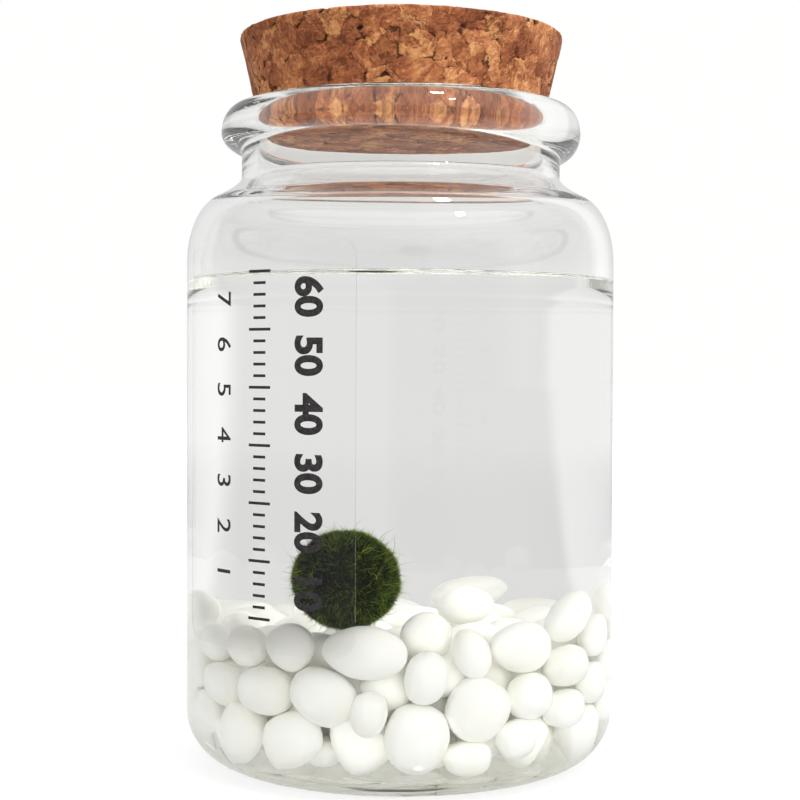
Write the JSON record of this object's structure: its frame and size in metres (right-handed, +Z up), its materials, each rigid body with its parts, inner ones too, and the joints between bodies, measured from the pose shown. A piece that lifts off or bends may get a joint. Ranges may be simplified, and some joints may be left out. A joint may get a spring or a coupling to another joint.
{
  "type": "marimo moss ball in a corked jar",
  "caption": "Round green moss ball lying on white pebbles in water, in a clear glass jar with a rolled lip and a tapered cork.",
  "frame": {"origin": "middle of the jar's resting plane", "axes": "+Z up along the jar's axis; the front, where the moss ball lies near the glass, faces -Y; the clear label is on the -X side of the front"},
  "size_m": [0.065, 0.065, 0.1099],
  "materials": {
    "clear_glass": "clear, fire-polished",
    "pressed_cork": "pressed cork granules, unsealed",
    "water": "clear still water",
    "moss": "dense soft green threads",
    "clear_film": "clear glossy film",
    "white_pebble": "white, glossy"
  },
  "bodies": {
    "root": {"jar": "clear_glass", "cork": "pressed_cork", "water": "water", "moss_ball": "moss", "clear_label": "clear_film", "gravel_bed": "white_pebble", "pebble_01": "white_pebble", "pebble_02": "white_pebble", "pebble_03": "white_pebble", "pebble_04": "white_pebble", "pebble_05": "white_pebble", "pebble_06": "white_pebble", "pebble_07": "white_pebble", "pebble_08": "white_pebble", "pebble_09": "white_pebble", "pebble_10": "white_pebble", "pebble_11": "white_pebble", "pebble_12": "white_pebble", "pebble_13": "white_pebble", "pebble_14": "white_pebble", "pebble_15": "white_pebble", "pebble_16": "white_pebble", "pebble_17": "white_pebble", "pebble_18": "white_pebble", "pebble_19": "white_pebble", "pebble_20": "white_pebble", "pebble_21": "white_pebble", "pebble_22": "white_pebble", "pebble_23": "white_pebble", "pebble_24": "white_pebble", "pebble_25": "white_pebble", "pebble_26": "white_pebble", "pebble_27": "white_pebble", "pebble_28": "white_pebble", "pebble_29": "white_pebble", "pebble_30": "white_pebble", "pebble_31": "white_pebble", "pebble_32": "white_pebble", "pebble_33": "white_pebble", "pebble_34": "white_pebble", "pebble_35": "white_pebble", "pebble_36": "white_pebble", "pebble_37": "white_pebble", "pebble_38": "white_pebble", "pebble_39": "white_pebble", "pebble_40": "white_pebble", "pebble_41": "white_pebble", "pebble_42": "white_pebble", "pebble_43": "white_pebble", "pebble_44": "white_pebble", "pebble_45": "white_pebble", "pebble_46": "white_pebble", "pebble_47": "white_pebble", "pebble_48": "white_pebble", "pebble_49": "white_pebble", "pebble_50": "white_pebble"}
  },
  "joints": []
}
